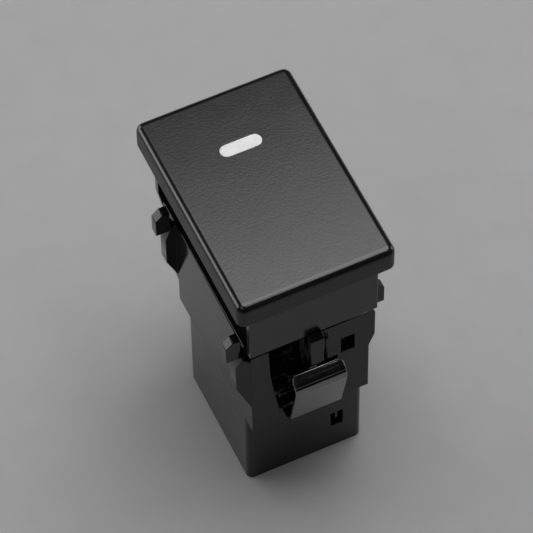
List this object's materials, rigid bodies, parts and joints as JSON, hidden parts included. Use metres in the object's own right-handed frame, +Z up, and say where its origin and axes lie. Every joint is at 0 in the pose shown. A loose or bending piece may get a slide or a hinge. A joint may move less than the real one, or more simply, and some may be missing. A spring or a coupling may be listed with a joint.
{
  "type": "dashboard pushbutton switch",
  "caption": "Rectangular dashboard pushbutton switch: flat button on a sprung, latching plunger, indicator window, clip-in housing with sprung steel clips and a plug socket below.",
  "frame": {"origin": "centre of the bounding box on the foot of the plug socket", "axes": "+Z up out of the button's face, +Y towards the end with the indicator window, +X to the right of someone facing the front clip"},
  "size_m": [0.0232, 0.0352, 0.0503],
  "materials": {
    "housing_plastic": "satin black moulding",
    "base_plastic": "satin black moulding",
    "clip_steel": "plain spring steel",
    "terminal_brass": "plain",
    "board": "solder mask",
    "lamp": "clear",
    "chip": "matt",
    "spring_steel": "drawn wire",
    "cap_plastic": "fine satin grain",
    "lens": "milky",
    "plunger_plastic": "matt moulding",
    "contact_metal": "silver alloy"
  },
  "bodies": {
    "housing": {"upper_housing": "housing_plastic", "connector_base": "base_plastic", "front_clip": "clip_steel", "rear_clip": "clip_steel", "supply_terminal": "terminal_brass", "load_terminal": "terminal_brass", "lamp_feed_terminal": "terminal_brass", "lamp_return_terminal": "terminal_brass", "circuit_board": "board", "indicator_led": "lamp", "series_resistor": "chip", "blocking_diode": "chip", "return_spring": "spring_steel"},
    "latch": {"latch_pin": "spring_steel"},
    "button": {"button_cap": "cap_plastic", "indicator_lens": "lens", "plunger": "plunger_plastic", "contact_bridge": "terminal_brass", "contact_tips": "contact_metal", "contact_spring": "spring_steel"}
  },
  "joints": [
    {"name": "press", "type": "slide", "parent": "housing", "child": "button", "axis": [0, 0, 1], "range_m": [-0.003, 0], "stiffness_N_per_m": 500, "springref_m": 0.004, "deforming": ["return_spring"]},
    {"name": "latch_swing", "type": "hinge", "parent": "housing", "child": "latch", "pos_m": [-0.00625, -0.00323, 0.0148], "axis": [1, 0, 0], "range_deg": [0, 14.6]}
  ],
  "couplings": [
    {"joint": "latch_swing", "follows": "press", "rad_per_m": -84.2}
  ]
}
